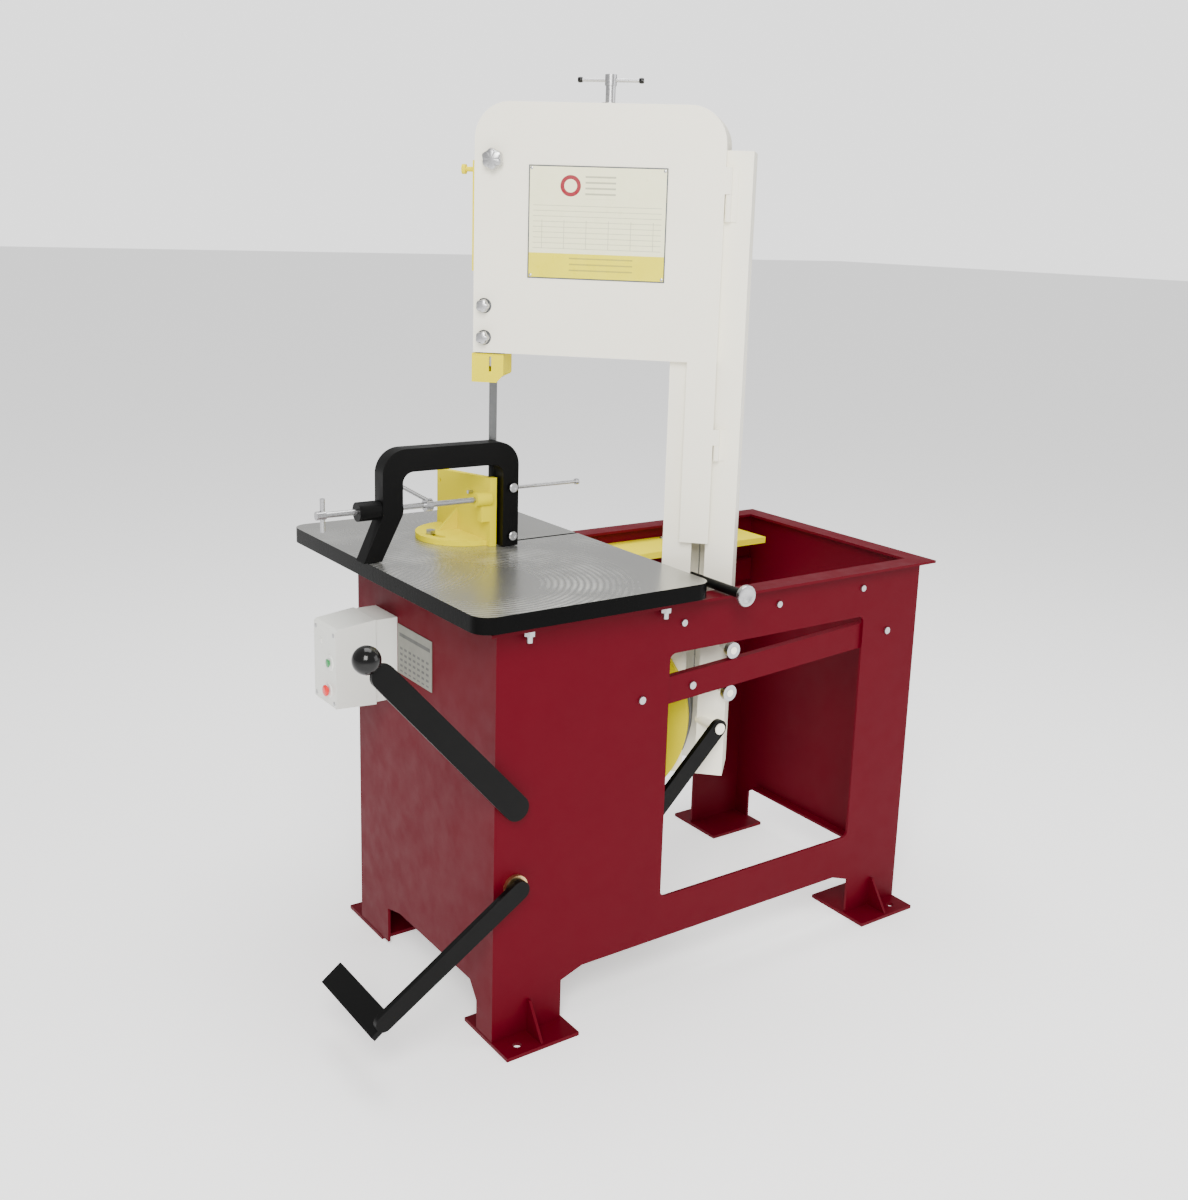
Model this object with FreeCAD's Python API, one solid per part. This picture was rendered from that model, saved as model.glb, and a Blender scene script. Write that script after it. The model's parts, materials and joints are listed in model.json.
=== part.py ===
import FreeCAD, Part
import os, math

# Vertical roll-in band saw. Driving dimensions, mm.
# Machine frame: X = 0 front panel, +X to the rear; Y = 0 near side plate, +Y away; Z = 0 floor.
# Everything is moved by SHIFT on export, so the row origin is the centre of the foot bolts.
BASE_L, BASE_W, BASE_H, SHEET = 1136.0, 595.0, 860.0, 6.0
FLANGE_W = 50.0
TABLE = (-67.0, 470.0, -55.0, 803.5, 871.0, 904.0)
TABLE_R = 38.0
SLOT_W = 8.0
RAIL_DEG, RAIL_H, RAIL_Z0, RAIL_X0 = 3.5, 58.0, 696.5, 419.0
WHEEL_R, WHEEL_HALF = 228.0, 14.0
WHEEL_E, UPPER_Z, LOWER_Z = 228.6, 1576.0, 555.0
BLADE_W, BLADE_T = 19.0, 1.0
BLADE_X, BLADE_Y = 245.1, 440.0
COL = (382.0, 532.0, -60.0, 40.0, 430.0, 1742.0)
BOX = (-29.0, 479.0, 1325.0, 1825.0)
BOX_R = 73.0
ROLLER_R = 17.5
HEAD_TRAVEL = 260.0
SHIFT = FreeCAD.Vector(-568.0, -297.5, 0.0)

V = FreeCAD.Vector
os.makedirs("parts", exist_ok=True)
TAN = math.tan(math.radians(RAIL_DEG))


def bx(x0, x1, y0, y1, z0, z1):
    return Part.makeBox(x1 - x0, y1 - y0, z1 - z0, V(x0, y0, z0))


def cy(p, d, r, h):
    return Part.makeCylinder(r, h, V(*p), V(*d))


def fuse(*s):
    a = s[0]
    if len(s) > 1:
        a = a.multiFuse(list(s[1:]))
    return a.removeSplitter()


def cut(a, *s):
    for b in s:
        a = a.cut(b)
    return a


def prism(pts, plane, a, b):
    if plane == "z":
        v = [V(p[0], p[1], a) for p in pts]; d = V(0, 0, b - a)
    elif plane == "y":
        v = [V(p[0], a, p[1]) for p in pts]; d = V(0, b - a, 0)
    else:
        v = [V(a, p[0], p[1]) for p in pts]; d = V(b - a, 0, 0)
    return Part.Face(Part.makePolygon(v + [v[0]])).extrude(d)


def rbox(x0, x1, y0, y1, z0, z1, r, axis="z", which="all"):
    s = bx(x0, x1, y0, y1, z0, z1)
    es = []
    for e in s.Edges:
        p, q = e.Vertexes[0].Point, e.Vertexes[1].Point
        d = q - p
        ok = {"x": abs(d.x), "y": abs(d.y), "z": abs(d.z)}[axis] > 0.9 * d.Length
        if not ok:
            continue
        if which == "top" and p.z < z1 - 0.01:
            continue
        if which == "bottom" and p.z > z0 + 0.01:
            continue
        es.append(e)
    return s.makeFillet(r, es)


def bar(p, q, w, y0, y1, w2=None):
    # flat bar with round ends in the XZ plane
    w2 = w2 or w
    dx, dz = q[0] - p[0], q[1] - p[1]
    L = math.hypot(dx, dz); nx, nz = -dz / L, dx / L
    pts = [(p[0] + nx * w / 2, p[1] + nz * w / 2), (q[0] + nx * w2 / 2, q[1] + nz * w2 / 2),
           (q[0] - nx * w2 / 2, q[1] - nz * w2 / 2), (p[0] - nx * w / 2, p[1] - nz * w / 2)]
    return fuse(prism(pts, "y", y0, y1), cy((p[0], y0, p[1]), (0, 1, 0), w / 2, y1 - y0),
                cy((q[0], y0, q[1]), (0, 1, 0), w2 / 2, y1 - y0))


def hexa(c, d, af, h):
    r = af / math.sqrt(3)
    pts = [V(r * math.cos(math.radians(60 * i)), r * math.sin(math.radians(60 * i)), 0) for i in range(6)]
    s = Part.Face(Part.makePolygon(pts + [pts[0]])).extrude(V(0, 0, h))
    s.Placement = FreeCAD.Placement(V(*c), FreeCAD.Rotation(V(0, 0, 1), V(*d)))
    return s


# Head frame: e along the wheel plane from the blade to the column, m behind the wheels, z up.
HEADP = FreeCAD.Placement(V(BLADE_X, BLADE_Y, 0), FreeCAD.Rotation(V(0, 0, 1), -45))


def head(s):
    s = s.copy()
    s.Placement = HEADP.multiply(s.Placement)
    return s


def hb(e0, e1, n0, n1, z0, z1):
    return bx(e0, e1, -n1, -n0, z0, z1)


def hc(e, n0, n1, z, r):
    return cy((e, -n1, z), (0, 1, 0), r, n1 - n0)


def hz(e, n, z0, z1, r):
    return cy((e, -n, z0), (0, 0, 1), r, z1 - z0)


def save(name, *shapes):
    s = shapes[0] if len(shapes) == 1 else Part.makeCompound(list(shapes))
    s = s.copy()
    s.translate(SHIFT)
    s.exportStep("parts/%s.step" % name)
    n = len(s.Solids)
    print("%-22s solids %d valid %s vol %.0f" % (name, n, s.isValid(), s.Volume))


# ---------------------------------------------------------------- base
side = prism([(0, 8), (161, 8), (161, 94), (212, 112), (924, 112), (975, 94), (975, 8), (BASE_L, 8),
              (BASE_L, 854), (0, 854)], "y", 0, SHEET)
near = cut(side, rbox(409, 962, -1, 7, 208, 748, 14, "y"))
SCREWS = [(440, 810), (699, 813), (952, 815)]
for x, z in SCREWS:
    near = cut(near, cy((x, -1, z), (0, 1, 0), 4.2, 8))
RAILBOLT = [(474, 668.5), (340, 662), (1040, 703)]
LEVER = (38.5, 506.0)
PEDAL = (47.0, 334.0)
near = cut(near, cy((LEVER[0], -1, LEVER[1]), (0, 1, 0), 17, 8), cy((PEDAL[0], -1, PEDAL[1]), (0, 1, 0), 17, 8))
for x, z in RAILBOLT:
    if x < 409 or x > 962:
        near = cut(near, cy((x, -1, z), (0, 1, 0), 5.2, 8))
far = prism([(0, 8), (161, 8), (161, 112), (161, 700), (200, 748), (936, 748), (975, 700), (975, 8),
             (BASE_L, 8), (BASE_L, 854), (0, 854)], "y", BASE_W - SHEET, BASE_W)
front = prism([(6, 8), (62, 8), (62, 70), (89, 104), (400, 104), (458, 90), (458, 8), (589, 8), (589, 854), (6, 854)], "x", 0, SHEET)
front = cut(front, cy((-1, 455, 690), (1, 0, 0), 15, 8))
rear = prism([(6, 8), (62, 8), (62, 70), (89, 106), (500, 106), (540, 80), (540, 8), (589, 8), (589, 854), (6, 854)], "x", BASE_L - SHEET, BASE_L)
rear = fuse(rear, bx(1106, 1130, 92, 498, 106, 112))
save("near_side_plate", near)
save("far_side_plate", far)
save("front_panel", front)
save("rear_panel", rear)
hw = FLANGE_W / 2
ring = cut(bx(-hw, BASE_L + hw, -hw, BASE_W + hw, 854, BASE_H), bx(hw, BASE_L - hw, hw, BASE_W - hw, 853, 861))
TB = [(64, -12), (383, -12), (64, 607), (383, 607)]
for x, y in TB:
    ring = cut(ring, cy((x, y, 850), (0, 0, 1), 6.5, 12))
save("top_flange", ring)
feet = []
for sx in (0, 1):
    for sy in (0, 1):
        x0, x1 = (-1, 167) if sx == 0 else (969, 1137)
        y0, y1 = (-61.5, 107.5) if sy == 0 else (487.5, 656.5)
        xm = (x0 + x1) / 2
        f = bx(x0, x1, y0, y1, 0, 8)
        g = [(-56, 8), (-0.0, 8), (-0.0, 78), (-8, 78)] if sy == 0 else [(651, 8), (595, 8), (595, 78), (603, 78)]
        f = fuse(f, prism(g, "x", xm - 3, xm + 3))
        hx = 40 if sx == 0 else 1096
        hy = -31 if sy == 0 else 626
        f = cut(f, cy((hx, hy, -1), (0, 0, 1), 9, 10))
        feet.append(f)
save("feet", *feet)


def rail(y0, y1):
    zt = lambda x: RAIL_Z0 + TAN * (x - RAIL_X0)
    return prism([(250, zt(250) - RAIL_H), (1124, zt(1124) - RAIL_H), (1124, zt(1124)), (250, zt(250))], "y", y0, y1)


nr = rail(6, 22)
fr = rail(573, 589)
for x, z in RAILBOLT:
    nr = cut(nr, cy((x, 5, z), (0, 1, 0), 5.1, 10))
save("near_rail", nr)
save("far_rail", fr)
gu = fuse(bx(560, 1068, 460, 589, 823, 825.5), bx(560, 1068, 460, 462.5, 810, 825.5), bx(560, 1068, 586.5, 589, 810, 825.5))
save("rail_guard", gu)

tb = rbox(*TABLE, TABLE_R)
tb = cut(tb, bx(228, 471, BLADE_Y - SLOT_W / 2, BLADE_Y + SLOT_W / 2, 870, 905))
tb = cut(tb, cy((148, 538, 870), (0, 0, 1), 6, 40))
save("table", tb)
bolts = []
for x, y in TB:
    bolts.append(fuse(cy((x, y, 830), (0, 0, 1), 6, 41), hexa((x, y, 860), (0, 0, 1), 19, 11), hexa((x, y, 843), (0, 0, 1), 19, 11)))
save("levelling_bolts", *bolts)
sc = []
for x, z in SCREWS:
    sc.append(fuse(cy((x, -4, z), (0, 1, 0), 7, 4), cy((x, -1, z), (0, 1, 0), 4.15, 8)))
for x, z in RAILBOLT:
    if x < 409 or x > 962:
        sc.append(fuse(cy((x, -4, z), (0, 1, 0), 8, 4), cy((x, -1, z), (0, 1, 0), 5, 14)))
    else:
        sc.append(fuse(cy((x, 2, z), (0, 1, 0), 8, 4), cy((x, 5, z), (0, 1, 0), 5, 8)))
save("panel_screws", *sc)

cb = cut(bx(-50, 0, 405, 507, 603, 781), bx(-51, -3, 408, 504, 606, 778))
cb = cut(cb, cy((-4, 455, 690), (1, 0, 0), 13, 8))
cb = fuse(cb, cut(cy((-30, 455, 591), (0, 0, 1), 9, 13), cy((-30, 455, 590), (0, 0, 1), 5, 15)))
save("control_box", cb)
lid = prism([(-50, 599), (-50, 783), (-134, 773), (-140, 768), (-140, 604)], "y", 402, 510)
lid = cut(lid, prism([(-49.9, 602), (-49.9, 780), (-132, 770), (-137, 766), (-137, 607)], "y", 405, 507))
STOP, START = (-140, 437, 636), (-140, 430, 697)
for c in (STOP, START):
    lid = cut(lid, cy((-141, c[1], c[2]), (1, 0, 0), 6.3, 6))
lid = fuse(lid, bx(-142, -140, 470, 484, 728, 738))
save("control_lid", lid)
for nm, c, r, k in (("stop_button", STOP, 12, 12), ("start_button", START, 9, 8)):
    save(nm, fuse(cy((c[0] - k, c[1], c[2]), (1, 0, 0), r, k - 5), cy((c[0] - 6, c[1], c[2]), (1, 0, 0), 6, 22)))
dp = bx(-1.5, 0, 250, 400, 662, 769)
save("data_plate", dp)
bush = []
for c in (LEVER, PEDAL):
    b = fuse(cy((c[0], -8, c[1]), (0, 1, 0), 25, 8), cy((c[0], -8, c[1]), (0, 1, 0), 17, 34))
    bush.append(cut(b, cy((c[0], -10, c[1]), (0, 1, 0), 12.55, 40)))
save("shaft_bushes", *bush)

# ---------------------------------------------------------------- feed lever, pedal and links
KNOB = (-255.0, -28.0, 838.0)
C0 = (131.0, 133.0)
D4 = (560.0, 553.0)
KB = (-236.0, 816.5)
hl = fuse(bar(LEVER, KB, 52, -20, -10, 46),
          cy((LEVER[0], -20, LEVER[1]), (0, 1, 0), 12.5, 82),
          bar(LEVER, C0, 32, 28, 38, 34),
          bar(LEVER, (98.5, 506), 30, 40, 50, 26),
          cy((C0[0], 9, C0[1]), (0, 1, 0), 8, 20),
          cy((98.5, 49, 506), (0, 1, 0), 6, 13))
ux, uz = (KNOB[0] - KB[0]), (KNOB[2] - KB[1])
ul = math.hypot(ux, uz); ux, uz = ux / ul, uz / ul
stud0 = (KB[0] + ux * 20, -15, KB[1] + uz * 20)
kc = (KB[0] + ux * 46, -15, KB[1] + uz * 46)
hl = fuse(hl, cy((KB[0] + ux * 15, -15, KB[1] + uz * 15), (ux, 0, uz), 4.9, 30))
kn = Part.makeSphere(26, V(*kc))
kn = fuse(kn, cy((KB[0] + ux * 24, -15, KB[1] + uz * 24), (ux, 0, uz), 12, 10))
kn = cut(kn, cy((KB[0] + ux * 10, -15, KB[1] + uz * 10), (ux, 0, uz), 5.0, 36))
save("hand_lever", hl.cut(cy((KB[0] + ux * 23.9, -15, KB[1] + uz * 23.9), (ux, 0, uz), 60, 60).cut(cy((KB[0] + ux * 20, -15, KB[1] + uz * 20), (ux, 0, uz), 4.9, 30))))
save("lever_knob", kn)
PE = (-241.0, 149.0)
pd = fuse(bar(PEDAL, PE, 40, -24, -12, 36), cy((PEDAL[0], -24, PEDAL[1]), (0, 1, 0), 12.5, 74),
          bar(PEDAL, (147, 334), 30, 40, 50, 26), cy((147, 49, 334), (0, 1, 0), 6, 13))
tp = math.atan2(203, 288)
tr = prism([(-262, 120), (-222, 150), (-229, 159), (-269, 129)], "y", -24, 200)
pd = fuse(pd, tr)
save("foot_pedal", pd)
tl = bar((98.5, 506), (147, 334), 26, 51, 59)
tl = cut(tl, cy((98.5, 50, 506), (0, 1, 0), 6.05, 12), cy((147, 50, 334), (0, 1, 0), 7.6, 12))
save("tie_link", tl)
# feed link; the lower eye is a slot that follows the crank pin
slot = None
TH_H, TH_L = math.radians(-31.5), math.radians(10.5)
path = []
for i in range(0, 27):
    f = i / 26.0
    a = -TH_H * f
    rx, rz = C0[0] - LEVER[0], C0[1] - LEVER[1]
    px = LEVER[0] + rx * math.cos(a) - rz * math.sin(a)
    pz = LEVER[1] + rx * math.sin(a) + rz * math.cos(a)
    hx = D4[0] + HEAD_TRAVEL * f * math.cos(math.radians(RAIL_DEG))
    hzz = D4[1] + HEAD_TRAVEL * f * math.sin(math.radians(RAIL_DEG))
    dx, dz = px - hx, pz - hzz
    b = TH_L * f
    path.append((D4[0] + dx * math.cos(b) - dz * math.sin(b), D4[1] + dx * math.sin(b) + dz * math.cos(b)))
xs = [p[0] for p in path]; zs = [p[1] for p in path]
print("crank pin drift in link frame x %.1f..%.1f z %.1f..%.1f" % (min(xs), max(xs), min(zs), max(zs)))
lk = bar(C0, D4, 38, 12, 24)
far_i = max(range(27), key=lambda i: math.hypot(path[i][0] - C0[0], path[i][1] - C0[1]))
cx_, cz_ = (C0[0] + path[far_i][0]) / 2, (C0[1] + path[far_i][1]) / 2
lk = fuse(lk, cy((cx_, 12, cz_), (0, 1, 0), 25, 12))
for p in path:
    lk = cut(lk, cy((p[0], 11, p[1]), (0, 1, 0), 8.8, 14))
lk = cut(lk, cy((D4[0], 11, D4[1]), (0, 1, 0), 10.05, 14))
save("feed_link", lk)

# ---------------------------------------------------------------- vise
PV = (226.0, 535.0)
disc = cy((PV[0], PV[1], 904.2), (0, 0, 1), 105, 11.8).common(bx(100, 242, 400, 700, 900, 920))
jaw = prism([(415, 904.2), (655, 904.2), (655, 1037), (415, 1055)], "x", 226, 242)
jaw = fuse(jaw, disc, prism([(226, 916), (226, 960), (180, 916)], "y", 560, 568))
jaw = cut(jaw, bx(230, 243, BLADE_Y - 7, BLADE_Y + 7, 903, 1060))
VS = (418.0, 1010.0)
boss = cut(cy((190, VS[0], VS[1]), (1, 0, 0), 15, 36), cy((189, VS[0], VS[1]), (1, 0, 0), 6.05, 30))
web = prism([(415, 960), (433, 960), (433, 1010), (415, 1010)], "x", 205, 226)
jaw = fuse(jaw, web).fuse(boss).cut(cy((189, VS[0], VS[1]), (1, 0, 0), 6.05, 30))
for y in (492, 641):
    jaw = cut(jaw, cy((225, y, 1012), (1, 0, 0), 4.1, 20))
arc2 = [cy((PV[0] + 78.06 * math.cos(math.radians(177.8 + i * 2.5)), PV[1] + 78.06 * math.sin(math.radians(177.8 + i * 2.5)), 903), (0, 0, 1), 6.6, 15) for i in range(0, 13)]
jaw = jaw.cut(arc2[0].multiFuse(arc2[1:]))
jaw = jaw.removeSplitter()
save("vise_jaw", jaw)
vb = fuse(cy((148, 538, 885), (0, 0, 1), 5.9, 32), hexa((148, 538, 916.3), (0, 0, 1), 19, 9))
save("vise_lock_bolt", vb)
ws = fuse(cy((214, 492, 1012), (1, 0, 0), 4.03, 286), cy((496, 492, 1012), (1, 0, 0), 7, 8))
save("work_stop", ws)
arm = prism([(-35, 1135), (285, 1135), (285, 906), (247, 906), (247, 1087), (10, 1087), (10, 1000), (-38, 906), (-78, 906), (-35, 1000)], "y", 396, 434)
ROUND = (((-35, 1135), 52), ((285, 1135), 52), ((247, 1087), 24), ((10, 1087), 24), ((-35, 1000), 18), ((10, 1000), 12))
for c, r in ROUND:
    es = [e for e in arm.Edges if all(math.hypot(v.Point.x - c[0], v.Point.z - c[1]) < 0.01 for v in e.Vertexes)]
    arm = arm.makeFillet(r, es)
arm = fuse(arm, cy((-83, VS[0], VS[1]), (1, 0, 0), 20, 95))
arm = fuse(arm, cy((268.6, 391, 1035), (0, 1, 0), 8, 5), cy((268.6, 391, 929), (0, 1, 0), 8, 5))
arm = cut(arm, cy((-90, VS[0], VS[1]), (1, 0, 0), 6.05, 120))
save("clamp_arm", arm)
cs = fuse(cy((-165, VS[0], VS[1]), (1, 0, 0), 6, 383), cy((-170, VS[0], VS[1]), (1, 0, 0), 9, 20),
          cy((-156, VS[0], VS[1] - 34), (0, 0, 1), 5, 68))
save("clamp_screw", cs)
lc = fuse(cy((70, VS[0], VS[1]), (1, 0, 0), 13, 16), cy((78, VS[0], VS[1] + 9), (-0.866, 0, 0.5), 4, 70))
lc = cut(lc, cy((69, VS[0], VS[1]), (1, 0, 0), 6.05, 20))
save("lock_collar", lc)

# ---------------------------------------------------------------- head
e0, e1, n0, n1, z0, z1 = COL
t = 6.0
col = cut(hb(e0, e1, n0, n1, z0, z1), hb(e0 + t, e1 - t, n0 + t, n1 - t, z0 - 1, z1 + 1))
col = cut(col, hb(443, 472, n1 - t - 1, n1 + 1, z0 - 1, z1 + 1))
col = cut(col, hb(e0 - 1, e0 + t + 1, -40, 36, 1330, z1 + 1), hb(e0 - 1, e0 + t + 1, -40, 36, z0 - 1, 790))
col = head(col)
PB = cy((536, -70, 872), (0, 1, 0), 10, 172)
col = col.cut(cy((536, -70, 872), (0, 1, 0), 10.02, 174))
RT = (585.0, RAIL_Z0 + TAN * (585 - RAIL_X0) + ROLLER_R + 0.3)
RB = (581.0, RAIL_Z0 + TAN * (581 - RAIL_X0) - RAIL_H - ROLLER_R - 0.4)
stubs = []
for c in (RT, RB):
    stubs.append(fuse(cy((c[0], 7.5, c[1]), (0, 1, 0), 5.95, 44.8), cy((c[0], 7.0, c[1]), (0, 1, 0), 8, 1.2), cy((c[0], 20.6, c[1]), (0, 1, 0), 9, 3)))
pin = fuse(cy((D4[0], 10, D4[1]), (0, 1, 0), 10, 74), cy((D4[0], 25.5, D4[1]), (0, 1, 0), 14, 4), cy((D4[0], 8.5, D4[1]), (0, 1, 0), 12, 3))
col = fuse(col, *stubs).fuse(pin)
save("column", col)


def outline(off, zb):
    return rbox(BOX[0] + off, BOX[1] - off, -10, 10, zb + off, BOX[3] - off, BOX_R - off, "y", "top")


def plate(off, n0_, n1_, zb=BOX[2], square_right=False):
    s = rbox(BOX[0] + off, BOX[1] - off, -n1_, -n0_, zb + off, BOX[3] - off, BOX_R - off, "y", "top")
    return s


colenv = hb(e0, e1, n0, n1, z0, z1)
shell = cut(plate(0, -60, 55), plate(3, -57, 56))
shell = cut(shell, colenv)
shell = cut(shell, hb(-26, 48, -26, 52, 1320, 1330))
guide = fuse(hb(183, 197.6, -57, -24, 1478, 1702), hb(259.6, 274, -57, -24, 1478, 1702))
wb = fuse(shell, guide)
wb = cut(wb, hz(WHEEL_E, -36, 1815, 1830, 10.4))
save("wheel_box", head(wb))

bp = hb(120, 500, -68, -60, 450, 660)
bp = cut(bp, hc(WHEEL_E, -70, -58, LOWER_Z, 26))
save("bearing_plate", head(bp))
bh = cut(fuse(hc(WHEEL_E, -76, -68, LOWER_Z, 68), hc(WHEEL_E, -120, -68, LOWER_Z, 45)), hc(WHEEL_E, -121, -60, LOWER_Z, 20.05))
save("bearing_housing", head(bh))
gb = cut(rbox(150, 310, 120, 200, 480, 640, 12, "y"), hc(WHEEL_E, -175, -119, LOWER_Z, 20.05))
gb = fuse(gb, cy((230, 160, 470), (0, 0, 1), 60, 12))
save("gearbox", head(gb))
mo = fuse(cy((230, 160, 280), (0, 0, 1), 78, 180), cy((230, 160, 460), (0, 0, 1), 66, 10), cy((230, 160, 268), (0, 0, 1), 70, 12))
for i in range(24):
    a = math.radians(i * 15)
    f = bx(76, 84, -1.5, 1.5, 300, 440)
    f.rotate(V(0, 0, 0), V(0, 0, 1), i * 15)
    f.translate(V(230, 160, 0))
    mo = mo.fuse(f)
save("motor", head(mo.removeSplitter()))

cf = prism([(610, 160.6), (650, 120.6), (650, 566), (610, 566)], "z", 695, 725)
FT1 = (640.0, RAIL_Z0 + TAN * (640 - RAIL_X0) + ROLLER_R + 0.3)
FT2 = (345.0, RAIL_Z0 + TAN * (345 - RAIL_X0) + ROLLER_R + 0.3)
cf = fuse(cf, bx(320, 665, 540, 566, 695, 740))
for c in (FT1, FT2):
    cf = fuse(cf, cy((c[0], 560, c[1]), (0, 1, 0), 5.95, 26.7), cy((c[0], 566, c[1]), (0, 1, 0), 9, 8), cy((c[0], 586.9, c[1]), (0, 1, 0), 8, 1.2))
cf = fuse(cf, *[cy((c[0], 586, c[1]), (0, 1, 0), 5.95, 1.5) for c in (FT1, FT2)])
save("carriage_frame", cf)
for nm, c, y in (("roller_near_top", RT, 8.3), ("roller_near_bottom", RB, 8.3), ("roller_far_rear", FT1, 574.5), ("roller_far_front", FT2, 574.5)):
    r = cy((c[0], y, c[1]), (0, 1, 0), ROLLER_R, 12)
    save(nm, cut(r, cy((c[0], y - 1, c[1]), (0, 1, 0), 6.0, 14)))

HE, HN = 486.0, 50.0
HZ = ((1605.0, 1710.0), (1125.0, 1190.0))
hin = []
for a, b in HZ:
    mid = (a + b) / 2
    s = fuse(hz(HE, HN, a, mid - 0.2, 6), hb(HE - 4, HE + 6, 42, 50, a, mid - 0.2), hb(HE - 4, HE + 18, 40, 44, a, b))
    s = cut(s, hb(HE - 12, HE + 20, 44, 60, mid - 0.2, b + 1))
    s = cut(s, hz(HE, HN, a - 1, b + 1, 2.55))
    hin.append(head(s))
save("door_hinges", *hin)
dr = fuse(plate(0, 55.5, 58.5), hb(419, 479, 55.5, 58.5, 950, 1400))
dr = fuse(dr, hb(419, 421.5, 43, 56, 950, 1322), hb(419, 479, 43, 56, 950, 952.5))
dr = cut(dr, hb(475, 480, 42, 55.4, 945, 1326))
for z in (1421, 1356):
    dr = cut(dr, hc(-6, 50, 60, z, 15.5))
dr = cut(dr, hc(12, 50, 60, 1712, 6.05))
for a, b in HZ:
    mid = (a + b) / 2
    k = fuse(hz(HE, HN, mid + 0.2, b, 6), hb(476, HE, 55.5, 58.5, mid + 0.2, b), hb(HE - 3, HE + 3, 52, 58.5, mid + 0.2, b), hz(HE, HN, a, b, 2.5))
    dr = fuse(dr, k)
save("door", head(dr))
save("label_plate", head(hb(84, 366, 58.5, 59.7, 1481, 1704)))
lkb = fuse(hc(12, 41, 62, 1712, 6), hc(12, 60.5, 84, 1712, 22), hb(6, 18, 42, 46, 1706, 1742))
lkb = cut(lkb, hc(12, 40, 59, 1712, 50).cut(fuse(hc(12, 40, 62, 1712, 6), hb(6, 18, 42, 46, 1706, 1742))))
save("latch_knob", head(lkb))

PE_, PN_ = -2.0, 30.0
gp = hb(PE_ - 10, PE_ + 10, PN_ - 10, PN_ + 10, 1316, 1680)
save("guide_post", head(gp))
pb = hb(-26, 13.5, 16.5, 49, 1340, 1440)
pb = cut(pb, hb(PE_ - 10.25, PE_ + 10.25, PN_ - 10.25, PN_ + 10.25, 1330, 1450))
for z in (1421, 1356):
    pb = cut(pb, hc(-6, 40, 50, z, 5.05))
save("post_bracket", head(pb))
for nm, z in (("post_knob_upper", 1421), ("post_knob_lower", 1356)):
    save(nm, head(fuse(hc(-6, 40.4, 64, z, 5), hc(-6, 62, 80, z, 14))))


def bladebox(w, tt, z0_, z1_, ang, grow=0.0):
    s = bx(-w / 2, w / 2, -tt / 2, tt / 2, z0_, z1_)
    s.rotate(V(0, 0, 0), V(0, 0, 1), ang)
    return s


ug = fuse(hb(-34, 34, 47, 50, 1262, 1322), hb(-34, -31, -22, 48, 1262, 1322), hb(31, 34, -22, 48, 1262, 1322), hb(-34, 34, 5, 48, 1318.5, 1322).cut(hb(PE_ - 11, PE_ + 11, 4, 41, 1310, 1330)))
ug = cut(ug, hb(3, 8, 46, 51, 1285, 1316))
ug = cut(ug, prism([(18, 1261), (35, 1261), (35, 1280)], "y", -51, 30))
ug = cut(ug, hb(-32, 32, -23, 12, 1317, 1323))
save("upper_guard", head(ug))
gd = fuse(hz(0, 0, 1270, 1300, 22), hb(-30.5, 30.5, 12, 46.5, 1296, 1315.9))
gd = cut(gd, bladebox(21.4, 1.9, 1260, 1320, 45))
bo = bx(-40, 0, -0.95, 0.95, 1260, 1320); bo.rotate(V(0, 0, 0), V(0, 0, 1), 45)
gd = cut(gd, bo)
save("upper_guides", head(gd.removeSplitter()))
lg = hz(0, 0, 818, 848, 20)
lg = fuse(lg, hb(-12, 12, -36, -16, 750, 848), hb(-12, 155, -76, -34, 750, 780), hb(125, 155, -76, -68, 600, 780))
lg = cut(lg, bladebox(21.4, 1.9, 740, 860, 45))
bo2 = bx(-40, 0, -0.95, 0.95, 740, 860); bo2.rotate(V(0, 0, 0), V(0, 0, 1), 45)
lg = cut(lg, bo2, hz(0, 0, 740, 817, 13))
save("lower_guides", head(lg.removeSplitter()))

# blade: a closed band, flat in the head plane on the wheels and turned 45 degrees between the guides
RI = WHEEL_R + 0.3
RC = RI + BLADE_T / 2
BE = WHEEL_E - RC
RE = WHEEL_E + RC
halfw = BLADE_W / 2


def halfring(zc, up):
    s = cut(hc(WHEEL_E, -halfw, halfw, zc, RI + BLADE_T), hc(WHEEL_E, -halfw - 1, halfw + 1, zc, RI))
    return s.common(hb(-50, 500, -20, 20, zc, zc + 300) if up else hb(-50, 500, -20, 20, zc - 300, zc))


def sect(z, ang):
    a = math.radians(ang)
    ux_, uy_ = math.cos(a), math.sin(a)
    p = []
    for sw, st in ((1, 1), (-1, 1), (-1, -1), (1, -1)):
        x = ux_ * sw * halfw - uy_ * st * BLADE_T / 2
        y = uy_ * sw * halfw + ux_ * st * BLADE_T / 2
        p.append(V(BE + x, y, z))
    return Part.makePolygon(p + [p[0]])


def twist(za, zb, aa, ab, n=8):
    w = [sect(za + (zb - za) * i / n, aa + (ab - aa) * i / n) for i in range(n + 1)]
    return Part.makeLoft(w, True, True)


right = bx(RE - BLADE_T / 2, RE + BLADE_T / 2, -halfw, halfw, LOWER_Z, UPPER_Z)
lt = bx(BE - BLADE_T / 2, BE + BLADE_T / 2, -halfw, halfw, 1530, UPPER_Z)
lb = bx(BE - BLADE_T / 2, BE + BLADE_T / 2, -halfw, halfw, LOWER_Z, 600)
mid = Part.makeLoft([sect(815, 45), sect(1345, 45)], True, True)
bl = halfring(UPPER_Z, True).multiFuse([halfring(LOWER_Z, False), right, lt, lb, mid, twist(1345, 1530, 45, 90), twist(600, 815, 90, 45)])
save("blade", head(bl))

sg = hb(-35, -29, -6, 50, 1490, 1710)
sg = fuse(sg, cy((-35, -20, 1693), (-1, 0, 0), 5, 22), cy((-57, -20, 1693), (-1, 0, 0), 10, 8))
save("side_guard", head(sg))

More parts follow.
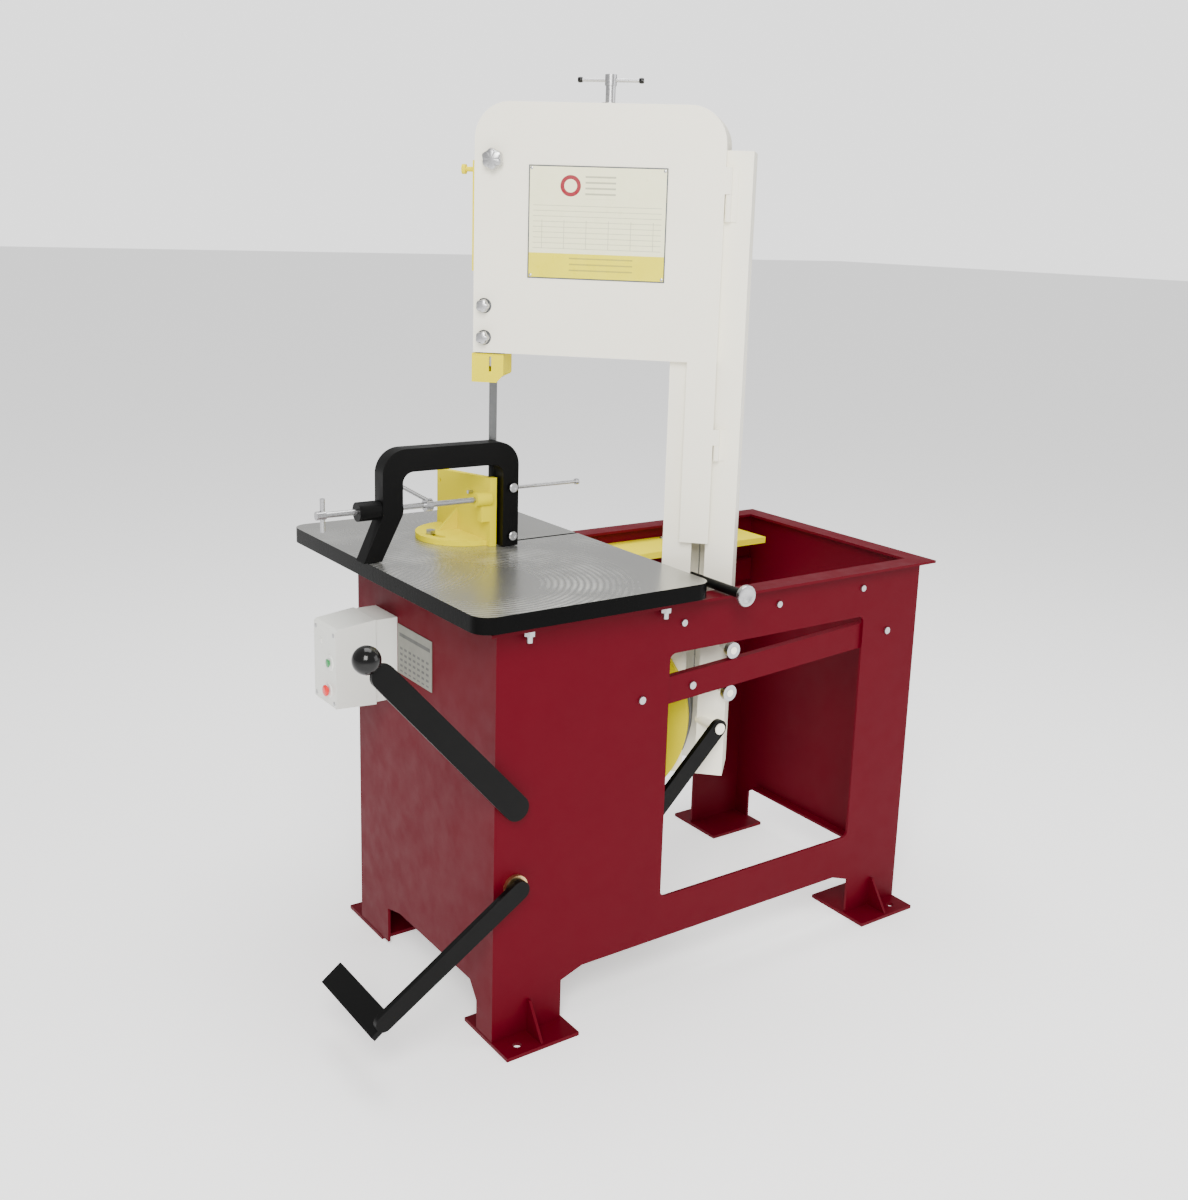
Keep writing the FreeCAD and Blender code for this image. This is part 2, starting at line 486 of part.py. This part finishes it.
lw = cut(hc(WHEEL_E, 42, 60, LOWER_Z, 226), hc(WHEEL_E, 40, 57, LOWER_Z, 222))
lw = cut(lw, hc(WHEEL_E, 50, 61, LOWER_Z, 24))
lw = fuse(lw, hb(395, 436, 40, 44, 600, 640), hb(395, 436, 40, 44, 470, 510))
save("lower_wheel_guard", head(lw))

PUSH = PB.cut(cy((536, -70.5, 872), (0, 1, 0), 5, 20.5))
save("push_bar", PUSH)
save("push_bar_knob", fuse(cy((536, -82, 872), (0, 1, 0), 22.5, 12), cy((536, -70, 872), (0, 1, 0), 4.95, 19)))

tbk = fuse(hb(198, 259.2, -56.6, -18, 1538, 1614), hc(WHEEL_E, -19, 22, UPPER_Z, 15), hc(WHEEL_E, 21, 26, UPPER_Z, 21))
tbk = cut(tbk, hz(WHEEL_E, -36, 1556, 1616, 10.05))
save("tension_block", head(tbk))
ts = fuse(hz(WHEEL_E, -36, 1562, 1882, 10), hz(WHEEL_E, -36, 1825.3, 1833, 17), hz(WHEEL_E, -36, 1815, 1821.7, 15),
          hz(WHEEL_E, -36, 1866, 1888, 12), cy((WHEEL_E - 68, 36, 1877), (1, 0, 0), 4, 136))
save("tension_screw", head(ts))


def wheel(zc, bore, hub0, hub1, shaft=None):
    w = fuse(cut(hc(WHEEL_E, -WHEEL_HALF, WHEEL_HALF, zc, WHEEL_R), hc(WHEEL_E, -20, 20, zc, WHEEL_R - 22)),
             hc(WHEEL_E, -5, 5, zc, WHEEL_R - 20), hc(WHEEL_E, hub0, hub1, zc, 36))
    if bore:
        w = cut(w, hc(WHEEL_E, -60, 60, zc, bore))
    if shaft:
        w = fuse(w, shaft)
    return w.removeSplitter()


save("upper_wheel", head(wheel(UPPER_Z, 15.05, -17, 20.5)))
save("lower_wheel", head(wheel(LOWER_Z, None, -30, 24, hc(WHEEL_E, -172, 34, LOWER_Z, 20))))
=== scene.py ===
import bpy, bmesh, math, json
from mathutils import Vector, Matrix


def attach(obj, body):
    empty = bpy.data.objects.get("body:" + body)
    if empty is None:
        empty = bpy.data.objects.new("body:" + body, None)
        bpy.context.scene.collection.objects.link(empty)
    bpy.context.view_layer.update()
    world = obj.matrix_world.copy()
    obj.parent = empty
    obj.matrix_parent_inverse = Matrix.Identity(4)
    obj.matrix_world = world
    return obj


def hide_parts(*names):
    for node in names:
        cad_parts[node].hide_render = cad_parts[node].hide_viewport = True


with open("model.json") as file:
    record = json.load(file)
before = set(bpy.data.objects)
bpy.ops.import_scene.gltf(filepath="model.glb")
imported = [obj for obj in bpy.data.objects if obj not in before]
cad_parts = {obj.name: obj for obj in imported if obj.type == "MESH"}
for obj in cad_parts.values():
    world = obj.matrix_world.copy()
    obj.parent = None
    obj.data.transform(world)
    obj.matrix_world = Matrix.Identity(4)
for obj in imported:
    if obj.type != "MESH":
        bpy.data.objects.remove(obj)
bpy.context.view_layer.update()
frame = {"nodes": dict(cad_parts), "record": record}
REC = frame["record"]
SLOT = {s["node"]: s["material_slot"] for s in REC["subparts"]}
S2 = math.sqrt(0.5)


def R(x, y, z):
    return Vector(((x - 568) / 1000, (y - 297.5) / 1000, z / 1000))


def H(e, n, z):
    return R(245.1 + S2 * (e - n), 440 - S2 * (e + n), z)


# ------------------------------------------------------------ materials
class NT:
    def __init__(self, name):
        self.m = bpy.data.materials.new(name)
        self.m.use_nodes = True
        self.t = self.m.node_tree
        for n in list(self.t.nodes):
            self.t.nodes.remove(n)
        self.out = self.n("ShaderNodeOutputMaterial")
        self.b = self.n("ShaderNodeBsdfPrincipled")
        self.l(self.b.outputs[0], self.out.inputs[0])
        self.tc = self.n("ShaderNodeTexCoord")
        self.P = self.tc.outputs["Object"]

    def n(self, k, **kw):
        x = self.t.nodes.new(k)
        for a, b in kw.items():
            setattr(x, a, b)
        return x

    def l(self, a, b):
        self.t.links.new(a, b)

    def noise(self, scale, detail=3.0, vec=None, rough=0.5):
        x = self.n("ShaderNodeTexNoise")
        x.inputs["Scale"].default_value = scale
        x.inputs["Detail"].default_value = detail
        x.inputs["Roughness"].default_value = rough
        self.l(vec or self.P, x.inputs["Vector"])
        return x.outputs["Fac"]

    def mapr(self, v, a, b, c, d):
        x = self.n("ShaderNodeMapRange")
        for i, k in enumerate((a, b, c, d)):
            x.inputs[i + 1].default_value = k
        self.l(v, x.inputs[0])
        return x.outputs[0]

    def mix(self, f, a, b):
        x = self.n("ShaderNodeMix", data_type="RGBA")
        if isinstance(f, float):
            x.inputs[0].default_value = f
        else:
            self.l(f, x.inputs[0])
        for sock, v in ((x.inputs[6], a), (x.inputs[7], b)):
            if isinstance(v, (tuple, list)):
                sock.default_value = (v[0], v[1], v[2], 1)
            else:
                self.l(v, sock)
        return x.outputs[2]

    def math(self, op, a, b=None):
        x = self.n("ShaderNodeMath", operation=op)
        for i, v in enumerate((a, b)):
            if v is None:
                continue
            if isinstance(v, (int, float)):
                x.inputs[i].default_value = v
            else:
                self.l(v, x.inputs[i])
        return x.outputs[0]

    def dot(self, v, d):
        x = self.n("ShaderNodeVectorMath", operation="DOT_PRODUCT")
        self.l(v, x.inputs[0])
        x.inputs[1].default_value = d
        return x.outputs["Value"]

    def bump(self, h, strength, dist, base=None):
        x = self.n("ShaderNodeBump")
        x.inputs["Strength"].default_value = strength
        x.inputs["Distance"].default_value = dist
        self.l(h, x.inputs["Height"])
        if base is not None:
            self.l(base, x.inputs["Normal"])
        return x.outputs[0]


def paint(name, col, rough=0.25, var=0.10, coat=0.3, metal=0.0, ns=9.0, bump=0.03, bs=380.0, spec=0.5, glow=0.0):
    k = NT(name)
    c = k.mix(k.noise(ns, 4.0), tuple(v * (1 - var) for v in col), tuple(min(1, v * (1 + var)) for v in col))
    k.l(c, k.b.inputs["Base Color"])
    k.l(k.mapr(k.noise(24.0, 5.0), 0.3, 0.7, max(0.02, rough - 0.06), rough + 0.07), k.b.inputs["Roughness"])
    k.b.inputs["Metallic"].default_value = metal
    k.b.inputs["Coat Weight"].default_value = coat
    k.b.inputs["Specular IOR Level"].default_value = spec
    # glow: emission in the surface's own colour; on the cream paint it is painted brightness standing in for
    # light, on the floor an evenly bright backdrop
    if glow:
        k.l(c, k.b.inputs["Emission Color"])
        k.b.inputs["Emission Strength"].default_value = glow
    k.b.inputs["Coat Roughness"].default_value = 0.08
    k.l(k.bump(k.noise(bs, 2.0), bump, 0.001), k.b.inputs["Normal"])
    return k.m


def brushed(name, col, rough=0.3, stretch=(1, 1, 14)):
    k = NT(name)
    mp = k.n("ShaderNodeMapping")
    mp.inputs["Scale"].default_value = stretch
    k.l(k.P, mp.inputs["Vector"])
    f = k.noise(120.0, 3.0, mp.outputs[0])
    k.l(k.mix(f, tuple(v * 0.8 for v in col), tuple(min(1, v * 1.12) for v in col)), k.b.inputs["Base Color"])
    k.l(k.mapr(f, 0.3, 0.7, rough - 0.07, rough + 0.1), k.b.inputs["Roughness"])
    k.b.inputs["Metallic"].default_value = 1.0
    k.l(k.bump(f, 0.06, 0.0006), k.b.inputs["Normal"])
    return k.m


def table_mat():
    k = NT("table_iron")
    geo = k.n("ShaderNodeNewGeometry")
    sep = k.n("ShaderNodeSeparateXYZ")
    k.l(geo.outputs["True Normal"], sep.inputs[0])
    up = k.mapr(sep.outputs[2], 0.93, 0.97, 0.0, 1.0)
    # grinding sweeps: wide, fine, broken arcs
    rings = None
    for cx, cy, sc, r0, r1, w in ((46.0, 178.0, 78.0, 0.124, 0.354, 0.75), (-150.0, 430.0, 86.0, 0.17, 0.36, 0.40), (420.0, 640.0, 79.0, 0.16, 0.40, 0.30)):
        c = R(cx, cy, 904)
        sub = k.n("ShaderNodeVectorMath", operation="SUBTRACT")
        k.l(k.P, sub.inputs[0])
        sub.inputs[1].default_value = (c.x, c.y, 0.904)
        ln = k.n("ShaderNodeVectorMath", operation="LENGTH")
        k.l(sub.outputs[0], ln.inputs[0])
        r = k.math("ADD", ln.outputs["Value"], k.math("MULTIPLY", k.noise(6.0, 2.0), 0.010))
        s_ = k.math("SINE", k.math("MULTIPLY", r, sc * 6.2832))
        s_ = k.math("MULTIPLY", k.math("ADD", s_, 1.0), 0.5)
        fade = k.math("MULTIPLY", k.mapr(ln.outputs["Value"], r0, r0 + 0.05, 0.0, 1.0), k.mapr(ln.outputs["Value"], r1 - 0.10, r1, 1.0, 0.0))
        s_ = k.math("MULTIPLY", k.math("MULTIPLY", s_, k.math("MULTIPLY", fade, k.mapr(k.noise(14.0, 4.0), 0.38, 0.66, 0.15, 1.0))), w)
        rings = s_ if rings is None else k.math("ADD", rings, s_)
    fine = k.noise(260.0, 3.0)
    big = k.noise(4.0, 3.0)
    f = k.math("MULTIPLY", rings, k.mapr(big, 0.3, 0.7, 0.55, 1.0))
    top = k.mix(f, (0.40, 0.40, 0.385), (0.95, 0.95, 0.92))
    edge = k.mix(fine, (0.0015, 0.0015, 0.0015), (0.003, 0.003, 0.003))
    k.l(k.mix(up, edge, top), k.b.inputs["Base Color"])
    k.l(k.mapr(k.math("ADD", f, k.math("MULTIPLY", fine, 0.3)), 0.0, 1.4, 0.24, 0.44), k.b.inputs["Roughness"])
    k.l(k.math("MULTIPLY", up, 0.85), k.b.inputs["Metallic"])
    k.b.inputs["Specular IOR Level"].default_value = 0.04
    k.l(k.bump(fine, 0.03, 0.001), k.b.inputs["Normal"])
    return k.m


def step(k, v, a):
    return k.math("GREATER_THAN", v, a)


def band(k, v, a, b):
    return k.math("MULTIPLY", k.math("GREATER_THAN", v, a), k.math("LESS_THAN", v, b))


def label_mat():
    k = NT("label")
    o = H(0, 0, 0)
    e = k.math("SUBTRACT", k.dot(k.P, (S2, -S2, 0)), float(o.x * S2 - o.y * S2))
    sep = k.n("ShaderNodeSeparateXYZ")
    k.l(k.P, sep.inputs[0])
    z = sep.outputs[2]
    cream = k.mix(k.noise(30.0), (0.90, 0.89, 0.56), (0.96, 0.95, 0.64))
    yellow = k.mix(k.noise(30.0), (0.76, 0.66, 0.004), (0.84, 0.74, 0.01))
    dark = k.mix(k.noise(60.0), (0.05, 0.06, 0.07), (0.09, 0.10, 0.11))
    c = k.mix(k.math("LESS_THAN", z, 1.532), cream, yellow)
    inner = k.math("MULTIPLY", band(k, e, 0.0865, 0.3635), band(k, z, 1.4835, 1.7015))
    c = k.mix(inner, dark, c)
    # a generic round symbol: a maroon ring above and left of the plate's middle
    de = k.math("POWER", k.math("SUBTRACT", e, 0.225), 2.0)
    dz = k.math("POWER", k.math("SUBTRACT", z, 1.622), 2.0)
    r = k.math("SQRT", k.math("ADD", de, dz))
    c = k.mix(band(k, r, 0.0, 0.0), c, dark)
    rz_ = k.math("SQRT", k.math("ADD", k.math("POWER", k.math("SUBTRACT", e, 0.170), 2.0), k.math("POWER", k.math("SUBTRACT", z, 1.665), 2.0)))
    maroon = k.mix(k.noise(60.0), (0.25, 0.01, 0.02), (0.30, 0.015, 0.03))
    c = k.mix(band(k, rz_, 0.013, 0.021), c, maroon)
    rows = k.math("MULTIPLY", band(k, k.math("FRACT", k.math("MULTIPLY", z, 95.0)), 0.40, 0.52), band(k, z, 1.541, 1.628))
    rows = k.math("MULTIPLY", rows, band(k, e, 0.094, 0.356))
    cols = k.math("MULTIPLY", band(k, k.math("FRACT", k.math("MULTIPLY", e, 22.0)), 0.46, 0.49), band(k, z, 1.541, 1.598))
    cols = k.math("MULTIPLY", cols, band(k, e, 0.094, 0.356))
    soft_ = k.math("MULTIPLY", k.math("MAXIMUM", rows, cols), 0.45)
    c = k.mix(soft_, c, dark)
    bars = k.math("MULTIPLY", band(k, k.math("FRACT", k.math("MULTIPLY", z, 90.0)), 0.3, 0.62), band(k, z, 1.640, 1.690))
    c = k.mix(k.math("MULTIPLY", k.math("MULTIPLY", bars, band(k, e, 0.200, 0.262)), 0.55), c, dark)
    ybar = k.math("MULTIPLY", band(k, k.math("FRACT", k.math("MULTIPLY", z, 85.0)), 0.3, 0.55), band(k, z, 1.489, 1.524))
    c = k.mix(k.math("MULTIPLY", k.math("MULTIPLY", ybar, band(k, e, 0.170, 0.300)), 0.5), c, dark)
    k.l(c, k.b.inputs["Base Color"])
    k.l(k.mapr(k.noise(40.0), 0.3, 0.7, 0.25, 0.4), k.b.inputs["Roughness"])
    return k.m


def dataplate_mat():
    k = NT("plate")
    sep = k.n("ShaderNodeSeparateXYZ")
    k.l(k.P, sep.inputs[0])
    y, z = sep.outputs[1], sep.outputs[2]
    base = k.mix(k.noise(60.0), (0.17, 0.17, 0.15), (0.23, 0.23, 0.20))
    dark = k.mix(k.noise(60.0), (0.05, 0.05, 0.05), (0.10, 0.10, 0.10))
    fy = k.math("FRACT", k.math("MULTIPLY", y, 52.0))
    fz = k.math("FRACT", k.math("MULTIPLY", z, 80.0))
    cell = k.math("MULTIPLY", band(k, fy, 0.2, 0.8), band(k, fz, 0.3, 0.72))
    area = k.math("MULTIPLY", band(k, y, -0.040, 0.095), band(k, z, 0.668, 0.722))
    head = k.math("MULTIPLY", band(k, y, -0.040, 0.095), band(k, z, 0.744, 0.752))
    c = k.mix(k.math("MULTIPLY", cell, area), base, dark)
    c = k.mix(head, c, dark)
    k.l(c, k.b.inputs["Base Color"])
    k.b.inputs["Metallic"].default_value = 0.4
    k.l(k.mapr(k.noise(40.0), 0.3, 0.7, 0.3, 0.45), k.b.inputs["Roughness"])
    return k.m


M = {
    "maroon_paint": paint("maroon_paint", (0.090, 0.0001, 0.0060), 0.46, 0.04, 0.0, bump=0.004, spec=0.07),
    # cream paint carries glow=0.03, a faint emission that paints extra brightness onto it in place of light
    "cream_paint": paint("cream_paint", (0.97, 0.935, 0.79), 0.36, 0.02, 0.10, bump=0.012, glow=0.03),
    "yellow_paint": paint("yellow_paint", (0.80, 0.68, 0.0), 0.48, 0.03, 0.0, spec=0.05),
    "black_paint": paint("black_paint", (0.0025, 0.0025, 0.0025), 0.42, 0.25, 0.0, spec=0.10),
    "table_iron": table_mat(),
    "steel": brushed("steel", (0.50, 0.50, 0.51), 0.30),
    "blade_steel": brushed("blade_steel", (0.20, 0.205, 0.21), 0.34, (1, 1, 0.2)),
    "wheel_iron": brushed("wheel_iron", (0.30, 0.31, 0.32), 0.42, (1, 1, 1)),
    "motor_paint": paint("motor_paint", (0.06, 0.075, 0.09), 0.4, 0.15, 0.1),
    "black_plastic": paint("black_plastic", (0.003, 0.003, 0.003), 0.12, 0.3, 0.0, bump=0.004, spec=0.30),
    "grey_plastic": paint("grey_plastic", (0.74, 0.75, 0.70), 0.45, 0.03, 0.05, bump=0.05),
    "stop_red": paint("stop_red", (0.75, 0.004, 0.006), 0.25, 0.08, 0.2),
    "start_green": paint("start_green", (0.01, 0.26, 0.06), 0.22, 0.1, 0.3),
    "bronze": brushed("bronze", (0.62, 0.42, 0.20), 0.35),
    "plate": dataplate_mat(),
    "label": label_mat(),
}
for name, o in frame["nodes"].items():
    m = M[SLOT[name]]
    if not o.material_slots:
        o.data.materials.append(m)
    for s in o.material_slots:
        s.material = m
WHITE = paint("trim_white", (0.80, 0.80, 0.76), 0.35, 0.03, 0.1)
DARK = paint("trim_dark", (0.02, 0.02, 0.02), 0.45, 0.2, 0.05)


# ------------------------------------------------------------ mesh helpers
def mesh(name, verts, faces, mat, body, smooth=True, bevel=0.0, rep=()):
    me = bpy.data.meshes.new(name)
    me.from_pydata([tuple(v) for v in verts], [], faces)
    me.update()
    bm = bmesh.new(); bm.from_mesh(me)
    bmesh.ops.remove_doubles(bm, verts=bm.verts, dist=1e-6)
    bmesh.ops.recalc_face_normals(bm, faces=bm.faces)
    bm.to_mesh(me); bm.free()
    o = bpy.data.objects.new(name, me)
    bpy.context.scene.collection.objects.link(o)
    me.materials.append(mat)
    if smooth:
        for p in me.polygons:
            p.use_smooth = True
        me.set_sharp_from_angle(angle=math.radians(35))
    if bevel:
        b = o.modifiers.new("bevel", "BEVEL"); b.width = bevel; b.segments = 2; b.limit_method = "ANGLE"; b.angle_limit = math.radians(35)
    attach(o, body)
    if rep:
        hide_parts(*rep)
    return o


def axes(d):
    d = Vector(d).normalized()
    a = d.orthogonal().normalized()
    return a, d.cross(a), d


def lathe(name, c, d, prof, mat, body, n=48, rep=(), lobes=0, depth=0.0, rmin=0.0):
    # profile points are (distance along the axis, radius) in metres
    a, b, d = axes(d)
    V_, F = [], []
    for h, r in prof:
        for i in range(n):
            t = 2 * math.pi * i / n
            rr = r
            if lobes and r > rmin:
                rr = r - depth * (0.5 - 0.5 * math.cos(lobes * t))
            V_.append(Vector(c) + d * h + a * rr * math.cos(t) + b * rr * math.sin(t))
    for j in range(len(prof) - 1):
        for i in range(n):
            k = (i + 1) % n
            F.append((j * n + i, j * n + k, (j + 1) * n + k, (j + 1) * n + i))
    F.append(tuple(range(n - 1, -1, -1)))
    F.append(tuple((len(prof) - 1) * n + i for i in range(n)))
    return mesh(name, V_, F, mat, body, rep=rep)


def soft(node, width, body, mat=None, segs=2, angle=35):
    # the same part with small rounded edges
    src = frame["nodes"][node]
    me = src.data.copy()
    bm = bmesh.new(); bm.from_mesh(me)
    bmesh.ops.remove_doubles(bm, verts=bm.verts, dist=1e-6)
    bmesh.ops.dissolve_limit(bm, angle_limit=math.radians(1.0), verts=bm.verts, edges=bm.edges)
    bm.to_mesh(me); bm.free()
    o = bpy.data.objects.new(node + "_soft", me)
    bpy.context.scene.collection.objects.link(o)
    me.materials.clear(); me.materials.append(mat or M[SLOT[node]])
    for p in me.polygons:
        p.use_smooth = True
    me.set_sharp_from_angle(angle=math.radians(40))
    b = o.modifiers.new("bevel", "BEVEL"); b.width = width; b.segments = segs
    b.limit_method = "ANGLE"; b.angle_limit = math.radians(angle); b.use_clamp_overlap = True
    b.harden_normals = True
    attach(o, body)
    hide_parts(node)
    return o


def arcp(cx, r0, a0, a1, n, h0):
    return [(h0 + r0 * math.sin(math.radians(a0 + (a1 - a0) * i / n)), cx + r0 * math.cos(math.radians(a0 + (a1 - a0) * i / n))) for i in range(n + 1)]


# ------------------------------------------------------------ rounded parts
for nd, w, b in (("clamp_arm", 0.004, "arm"), ("vise_jaw", 0.0015, "vise"), ("hand_lever", 0.0012, "lever"), ("foot_pedal", 0.0012, "pedal"),
                 ("feed_link", 0.001, "feed"), ("table", 0.0012, "base"), ("control_lid", 0.003, "base"), ("control_box", 0.002, "base")):
    soft(nd, w, b)

# lever knob: polished ball with a neck
KB = Vector((-236.0, -15.0, 816.5)); K = Vector((-255.0, -28.0, 838.0))
u = Vector((K.x - KB.x, 0, K.z - KB.z)).normalized()
kc = KB + u * 46
prof = [(0.0, 0.0112), (0.006, 0.0118), (0.009, 0.0115)]
for i in range(3, 33):
    t = math.pi * (i / 32.0)
    rr = 0.0259 * math.sin(t)
    if rr > 0.0105 or i > 16:
        prof.append((0.0224 - 0.0259 * math.cos(t), max(rr, 0.0004)))
o_ = KB + u * 23.6
lathe("lever_ball", R(o_.x, o_.y, o_.z), u, [p for p in prof], M["black_plastic"], "lever", rep=("lever_knob",))

# buttons with domed heads and collars
for nm, y, z, r, k, mt, sl, bd, rp in (("stop_head", 437, 636, 0.0118, 0.0120, M["stop_red"], "stop_red", "stop", "stop_button"),
                                       ("start_head", 430, 697, 0.0088, 0.0080, M["start_green"], "start_green", "start", "start_button")):
    lathe(nm, R(-140 + 15, y, z), (-1, 0, 0), [(0.0, 0.0058), (0.0155, 0.0058), (0.0205, 0.0058), (0.0206, r * 0.92), (0.0215, r), (0.015 + k - 0.0025, r), (0.015 + k - 0.0009, r * 0.86), (0.015 + k - 0.0002, r * 0.5), (0.015 + k, 0.0004)], mt, bd, rep=(rp,))
for nm, y, z, r, mt in (("stop_collar", 437, 636, 0.0160, WHITE), ("start_collar", 430, 697, 0.0175, WHITE)):
    lathe(nm, R(-140, y, z), (-1, 0, 0), [(0.0, 0.0066), (0.0, r), (0.0012, r), (0.0022, r * 0.93), (0.0022, 0.0066)], mt, "base")
for i, (y, z) in enumerate(((412, 613), (500, 613), (412, 759), (500, 759))):
    lathe("lid_screw_%d" % i, R(-139.9, y, z), (-1, 0, 0), [(0.0, 0.0046), (0.0008, 0.0046), (0.0014, 0.0038), (0.0014, 0.0016), (0.0006, 0.0014), (0.0006, 0.0003)], M["steel"], "base", n=24)

# knobs on the door
ND = Vector((-S2, -S2, 0))
lathe("latch_handwheel", H(12, 41.2, 1712), ND, [(0, 0.0058), (0.0192, 0.0058), (0.0194, 0.0150), (0.0225, 0.0150), (0.0245, 0.0205), (0.0275, 0.0219), (0.0370, 0.0219), (0.0405, 0.0200), (0.0425, 0.0150), (0.0428, 0.0004)], M["steel"], "latch", n=72, lobes=6, depth=0.0028, rmin=0.016, rep=("latch_knob",))
for nm, z, bd, rp in (("post_grip_a", 1421, "pk_upper", "post_knob_upper"), ("post_grip_b", 1356, "pk_lower", "post_knob_lower")):
    lathe(nm, H(-6, 40.6, z), ND, [(0, 0.0046), (0.0008, 0.0049), (0.0214, 0.0049), (0.0216, 0.0100), (0.0235, 0.0130), (0.0260, 0.0139), (0.0350, 0.0139), (0.0378, 0.0126), (0.0392, 0.0090), (0.0393, 0.0004)], M["steel"], bd, n=60, lobes=5, depth=0.0018, rmin=0.0105, rep=(rp,))
# push bar knob: turned steel disc
lathe("push_disc", R(536, -50.8, 872), (0, -1, 0), [(0, 0.0045), (0.0006, 0.0049), (0.0190, 0.0049), (0.0192, 0.0190), (0.0200, 0.0214), (0.0222, 0.0224), (0.0285, 0.0224), (0.0304, 0.0212), (0.0310, 0.0190), (0.0304, 0.0110), (0.0300, 0.0100), (0.0300, 0.0004)], M["steel"], "head", n=64, rep=("push_bar_knob",))
# tension bar ball ends
for i, sgn in enumerate((-1, 1)):
    c = H(228.6 + sgn * 58.0, -36, 1877)
    dd = Vector((S2, -S2, 0)) * sgn
    lathe("tension_end_%d" % i, c, dd, [(0, 0.0043)] + [(0.0050 - 0.0050 * math.cos(math.pi * t / 10), max(0.0004, 0.0043 + 0.0016 * math.sin(math.pi * t / 10)) if t < 10 else 0.0004) for t in range(1, 11)], M["black_plastic"], "tscrew", n=32)

for i, z in enumerate((1035, 929)):
    lathe("arm_bolt_%d" % i, R(268.6, 391.2, z), (0, -1, 0), [(0, 0.0095), (0.0012, 0.0100), (0.0038, 0.0098), (0.0048, 0.0086), (0.0048, 0.0050), (0.0020, 0.0048), (0.0020, 0.0004)], M["steel"], "arm", n=36)
for i, (e, z) in enumerate(((90, 1698), (360, 1698), (90, 1487), (360, 1487))):
    lathe("label_screw_%d" % i, H(e, 59.6, z), ND, [(0, 0.0032), (0.0008, 0.0030), (0.0013, 0.0018), (0.0014, 0.0003)], M["steel"], "door", n=20)

# screws in the rail guard
for i, (x, y) in enumerate(((600, 575), (820, 575), (1040, 575))):
    lathe("guard_screw_%d" % i, R(x, y, 825.4), (0, 0, 1), [(0, 0.0062), (0.0012, 0.0060), (0.0026, 0.0044), (0.0030, 0.0020), (0.0022, 0.0018), (0.0022, 0.0003)], M["steel"], "base", n=24)

# ------------------------------------------------------------ stage, light, camera
def plane(name, pts, mat):
    me = bpy.data.meshes.new(name); me.from_pydata(pts, [], [tuple(range(len(pts)))])
    o = bpy.data.objects.new(name, me); bpy.context.scene.collection.objects.link(o); me.materials.append(mat)
    return o


FL = paint("floor_pale", (0.96, 0.96, 0.96), 0.9, 0.004, 0.0, bump=0.0, spec=0.05, glow=0.62)
plane("floor", [(-55, -55, 0), (55, -55, 0), (55, 55, 0), (-55, 55, 0)], FL)
w = bpy.data.worlds.new("studio"); bpy.context.scene.world = w; w.use_nodes = True
w.node_tree.nodes["Background"].inputs[0].default_value = (1.0, 1.0, 1.0, 1)
bgn = w.node_tree.nodes["Background"]
lp = w.node_tree.nodes.new("ShaderNodeLightPath")
mr = w.node_tree.nodes.new("ShaderNodeMapRange")
mr.inputs[3].default_value = 0.70; mr.inputs[4].default_value = 2.0
w.node_tree.links.new(lp.outputs["Is Camera Ray"], mr.inputs[0])
w.node_tree.links.new(mr.outputs[0], bgn.inputs[1])


def area(name, loc, at, size, power, col=(1, 1, 1)):
    l = bpy.data.lights.new(name, "AREA"); l.shape = "RECTANGLE"; l.size, l.size_y = size; l.energy = power; l.color = col
    o = bpy.data.objects.new(name, l); bpy.context.scene.collection.objects.link(o)
    o.location = loc
    o.rotation_mode = "QUATERNION"
    o.rotation_quaternion = (Vector(at) - Vector(loc)).to_track_quat("-Z", "Y")
    return o


area("key", (-2.5, -3.1, 3.3), (0, 0, 0.9), (1.8, 2.2), 250, (1.0, 0.985, 0.96))
area("fill", (3.0, -2.6, 1.9), (0, 0, 0.9), (2.4, 2.4), 60)
area("top", (0.2, 0.4, 4.2), (0, 0, 0.9), (2.5, 2.5), 130)

cam = bpy.data.cameras.new("cam"); co = bpy.data.objects.new("cam", cam)
bpy.context.scene.collection.objects.link(co); bpy.context.scene.camera = co
cam.sensor_width = 36.0; cam.lens = 1345.95 / 1200.0 * 36.0
cam.shift_x = (594.0 - 625.45) / 1200.0; cam.shift_y = (537.49 - 600.0) / 1200.0
cam.dof.use_dof = False
Rm = [[0.81068396, -0.58452323, 0.03352776], [-0.10555872, -0.20224749, -0.97362894], [0.57588964, 0.78576622, -0.22566032]]
m = Matrix.Identity(4)
for i in range(3):
    m[i][0], m[i][1], m[i][2] = Rm[0][i], -Rm[1][i], -Rm[2][i]
co.matrix_world = Matrix.Translation(R(-1212.63, -2044.0, 1591.28)) @ m
cam.clip_start, cam.clip_end = 0.05, 200
